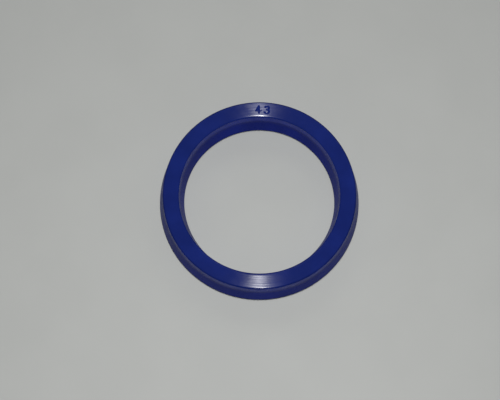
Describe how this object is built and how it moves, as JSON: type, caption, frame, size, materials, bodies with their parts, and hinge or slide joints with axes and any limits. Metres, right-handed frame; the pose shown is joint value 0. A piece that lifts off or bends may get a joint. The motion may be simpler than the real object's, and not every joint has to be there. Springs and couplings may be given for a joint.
{
  "type": "u cup seal",
  "caption": "Blue polyurethane U-cup lip seal: a ring with a flat square heel, lips that flare inwards and outwards, and a rounded groove between them, for a sliding rod or piston.",
  "frame": {"origin": "on the ring's axis, in the plane of the lip ends that the ring rests on", "axes": "+Z along the ring's axis, from the lip ends up to the flat heel face"},
  "size_m": [0.0444, 0.0444, 0.008],
  "materials": {
    "polyurethane": "semi-gloss deep blue cast polyurethane, fine concentric turning marks on the heel face"
  },
  "bodies": {
    "root": {"seal_ring": "polyurethane"}
  },
  "joints": []
}
